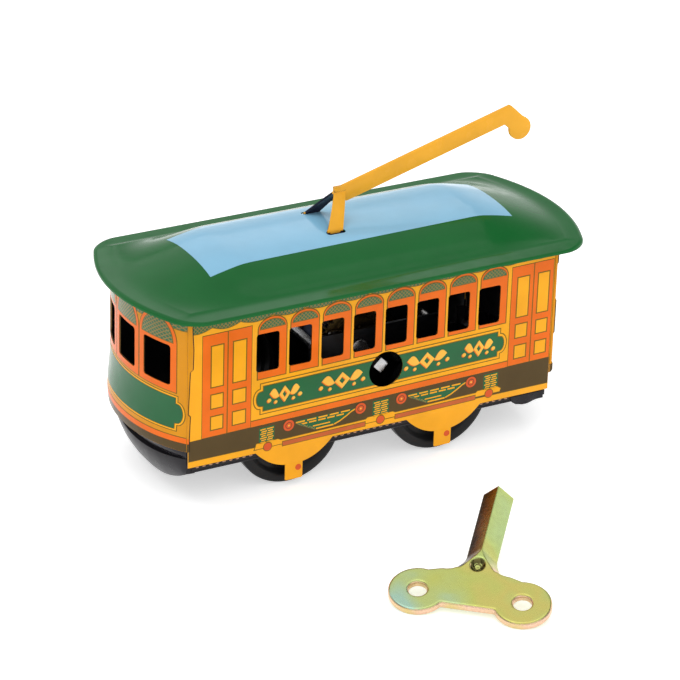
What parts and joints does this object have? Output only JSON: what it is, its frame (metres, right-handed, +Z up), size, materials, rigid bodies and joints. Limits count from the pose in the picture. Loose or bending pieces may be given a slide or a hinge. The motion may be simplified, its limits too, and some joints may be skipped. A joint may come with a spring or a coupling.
{
  "type": "wind-up tin trolley car",
  "caption": "Printed tin trolley car with a clockwork motor that drives its rear wheels, a roof pole and a loose square-socket winding key.",
  "frame": {"origin": "middle of the floor area that the trolley and its loose key cover together, at floor level", "axes": "+X along the trolley towards the raised tip of its roof pole, +Y from the side with the winding hole to the far side, +Z up"},
  "size_m": [0.0998, 0.1076, 0.065],
  "materials": {
    "side_print": "glossy lithographed tinplate",
    "end_print": "glossy lithographed tinplate",
    "roof_paint": "glossy green lacquer with a light blue panel",
    "pole_paint": "glossy printed tinplate, bare grey inside the fold",
    "chassis_paint": "semi-gloss black lacquer",
    "wheel_paint": "semi-gloss black lacquer",
    "bright_steel": "bright turned steel",
    "plate_steel": "plain sheet steel",
    "spring_steel": "blued spring steel",
    "gear_brass": "stamped brass",
    "key_plating": "yellow zinc plating with an iridescent tint"
  },
  "bodies": {
    "trolley_body": {"side_panel_near": "side_print", "side_panel_far": "side_print", "end_panel_front": "end_print", "end_panel_rear": "end_print", "roof": "roof_paint", "trolley_pole": "pole_paint", "chassis_base": "chassis_paint", "front_fender": "chassis_paint", "rear_fender": "chassis_paint", "front_axle_bracket": "bright_steel", "motor_plate_near": "plate_steel", "motor_plate_far": "plate_steel", "motor_pillar_1": "bright_steel", "motor_pillar_2": "bright_steel", "motor_pillar_3": "bright_steel", "motor_pillar_4": "bright_steel", "mainspring": "spring_steel"},
    "winding_shaft": {"winding_arbor": "bright_steel", "ratchet_wheel": "bright_steel"},
    "great_gear": {"great_wheel": "gear_brass", "click": "bright_steel", "click_stud": "bright_steel", "click_spring": "spring_steel"},
    "second_shaft": {"second_arbor": "bright_steel", "second_pinion": "bright_steel", "second_wheel": "gear_brass"},
    "rear_wheelset": {"rear_axle": "bright_steel", "rear_wheel_near": "wheel_paint", "rear_wheel_far": "wheel_paint", "drive_pinion": "bright_steel"},
    "front_wheelset": {"front_axle": "bright_steel", "front_wheel_near": "wheel_paint", "front_wheel_far": "wheel_paint"},
    "key": {"winding_key": "key_plating"}
  },
  "joints": [
    {"name": "winding_turn", "type": "hinge", "parent": "trolley_body", "child": "winding_shaft", "pos_m": [0.00155, 0.0321, 0.0213], "axis": [0, 1, 0], "range_deg": [0, 1530]},
    {"name": "rear_axle_spin", "type": "hinge", "parent": "trolley_body", "child": "rear_wheelset", "pos_m": [0.01525, 0.0321, 0.01135], "axis": [0, 1, 0], "continuous": true},
    {"name": "second_shaft_spin", "type": "hinge", "parent": "trolley_body", "child": "second_shaft", "pos_m": [0.01027, 0.0321, 0.01722], "axis": [0, 1, 0], "continuous": true},
    {"name": "great_gear_spin", "type": "hinge", "parent": "trolley_body", "child": "great_gear", "pos_m": [0.00155, 0.0321, 0.0213], "axis": [0, 1, 0], "continuous": true},
    {"name": "front_axle_spin", "type": "hinge", "parent": "trolley_body", "child": "front_wheelset", "pos_m": [-0.0185, 0.0321, 0.01135], "axis": [0, 1, 0], "continuous": true},
    {"name": "key_lift", "type": "slide", "parent": "trolley_body", "child": "key", "axis": [0, 0, 1], "range_m": [0, 0.05]}
  ],
  "couplings": [
    {"joint": "second_shaft_spin", "follows": "rear_axle_spin", "ratio": -0.33333},
    {"joint": "great_gear_spin", "follows": "rear_axle_spin", "ratio": 0.083333}
  ]
}
